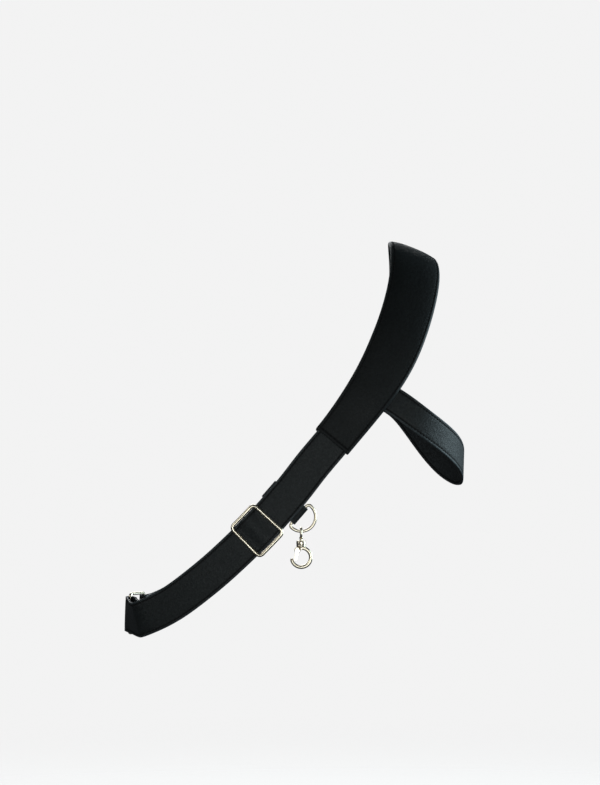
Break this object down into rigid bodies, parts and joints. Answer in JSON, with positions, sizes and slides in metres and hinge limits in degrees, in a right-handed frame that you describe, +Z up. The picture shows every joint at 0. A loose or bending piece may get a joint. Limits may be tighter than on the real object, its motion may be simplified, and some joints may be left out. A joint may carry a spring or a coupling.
{
  "type": "saxophone shoulder harness",
  "caption": "Single-shoulder leather instrument harness, shaped as worn, with a padded shoulder piece, under-arm strap, sliding adjuster, hip ring and a sprung swivel hook.",
  "frame": {"origin": "the point of the wearer's right shoulder that the underside of the pad rests on", "axes": "+Z up, +X to the wearer's right, +Y to the wearer's front"},
  "size_m": [0.3193, 0.2062, 0.3711],
  "materials": {
    "black_leather": "soft fine-grained, semi-matt, black with a faint green-blue cast",
    "lining_leather": "matt brushed lining",
    "foam": "closed-cell foam, hidden",
    "pale_gold": "polished pale gold plate",
    "spring_steel": "bright wire"
  },
  "bodies": {
    "harness": {"shoulder_pad_cover": "black_leather", "shoulder_pad_foam": "foam", "shoulder_pad_lining": "lining_leather", "back_strap_face": "black_leather", "back_strap_lining": "lining_leather", "front_strap_face": "black_leather", "front_strap_lining": "lining_leather", "underarm_strap_face": "black_leather", "underarm_strap_lining": "lining_leather", "side_ring": "pale_gold"},
    "back_slider": {"back_slider_frame": "pale_gold", "back_slider_bar": "pale_gold", "back_strap_tail_loop": "black_leather"},
    "keeper": {"hook_keeper": "black_leather"},
    "d_ring": {"hook_d_ring": "pale_gold"},
    "swivel_eye": {"hook_swivel_eye": "pale_gold"},
    "hook": {"hook_body": "pale_gold", "hook_gate_pin": "pale_gold", "hook_gate_spring": "spring_steel"},
    "gate": {"hook_gate": "pale_gold"}
  },
  "joints": [
    {"name": "back_slider_travel", "type": "hinge", "parent": "harness", "child": "back_slider", "pos_m": [-0.34044, 0.19743, -0.0373], "axis": [0.5443, 0.7009, -0.4609], "range_deg": [-6.8, 6.8]},
    {"name": "hook_keeper_travel", "type": "hinge", "parent": "harness", "child": "keeper", "pos_m": [-0.38983, -0.26547, 0.00336], "axis": [0.5392, -0.7054, -0.4601], "range_deg": [-11.2, 2.9]},
    {"name": "d_ring_swing", "type": "hinge", "parent": "keeper", "child": "d_ring", "pos_m": [-0.10465, 0.09596, -0.24772], "axis": [0.6556, 0.0083, 0.7551], "range_deg": [-60, 60]},
    {"name": "eye_round_d_ring", "type": "hinge", "parent": "d_ring", "child": "swivel_eye", "pos_m": [-0.10238, 0.09599, -0.24968], "axis": [-0.0126, 0.9999, 0], "range_deg": [-60, 30]},
    {"name": "hook_swivel", "type": "hinge", "parent": "swivel_eye", "child": "hook", "pos_m": [-0.10238, 0.09599, -0.26528], "axis": [0, 0, 1], "continuous": true},
    {"name": "gate_opening", "type": "hinge", "parent": "hook", "child": "gate", "pos_m": [-0.10598, 0.09594, -0.28188], "axis": [0.0126, -0.9999, 0], "range_deg": [0, 36], "stiffness_Nm_per_rad": 0.004, "springref_deg": -20.05}
  ]
}
